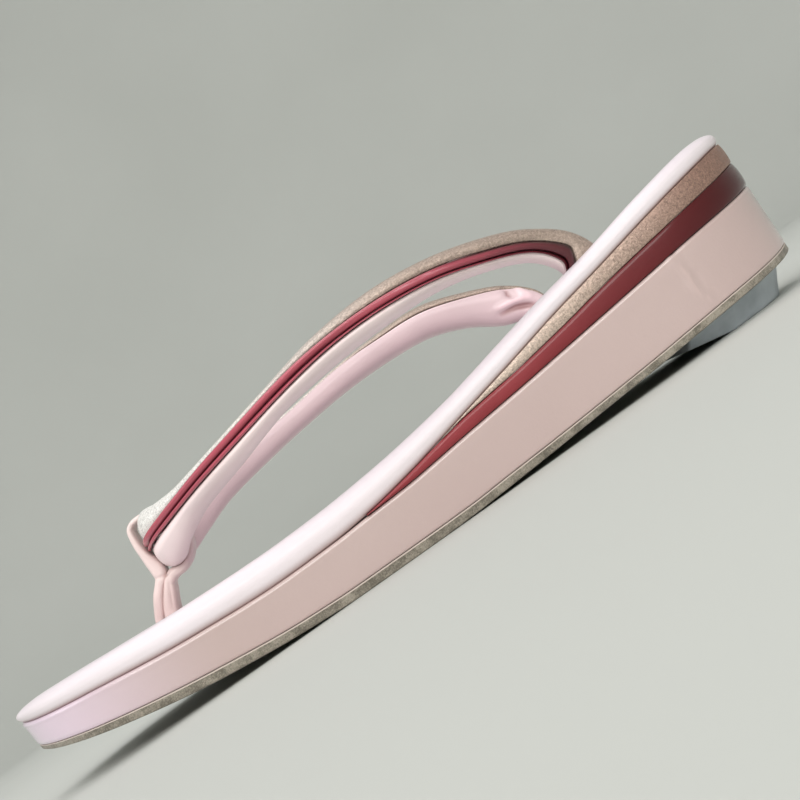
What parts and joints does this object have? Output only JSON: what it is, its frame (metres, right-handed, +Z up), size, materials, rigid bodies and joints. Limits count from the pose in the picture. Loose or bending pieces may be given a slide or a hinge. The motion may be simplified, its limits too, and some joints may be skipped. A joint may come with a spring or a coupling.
{
  "type": "zori sandal",
  "caption": "Low wedge zori sandal with a layered enamel sole, padded footbed and padded V straps held by a folded toe loop.",
  "frame": {"origin": "on the floor under the middle of the length and width", "axes": "+X towards the toe, +Y towards the left-hand side, +Z up"},
  "size_m": [0.2404, 0.0794, 0.0594],
  "materials": {
    "outsole_suede": "matte, fine nap",
    "heel_rubber": "satin",
    "pink_enamel": "glossy enamelled leather cloth",
    "red_enamel": "glossy enamelled leather cloth",
    "metallic_beige": "pearl coat with fine glitter",
    "footbed_leather": "soft satin",
    "strap_lining": "soft satin",
    "toe_loop_leather": "soft satin"
  },
  "bodies": {
    "root": {"outsole": "outsole_suede", "heel_rubber": "heel_rubber", "enamel_body": "pink_enamel", "red_wedge": "red_enamel", "metallic_wedge": "metallic_beige", "padded_footbed": "footbed_leather", "strap_upper": "strap_lining", "toe_loop": "toe_loop_leather"}
  },
  "joints": []
}
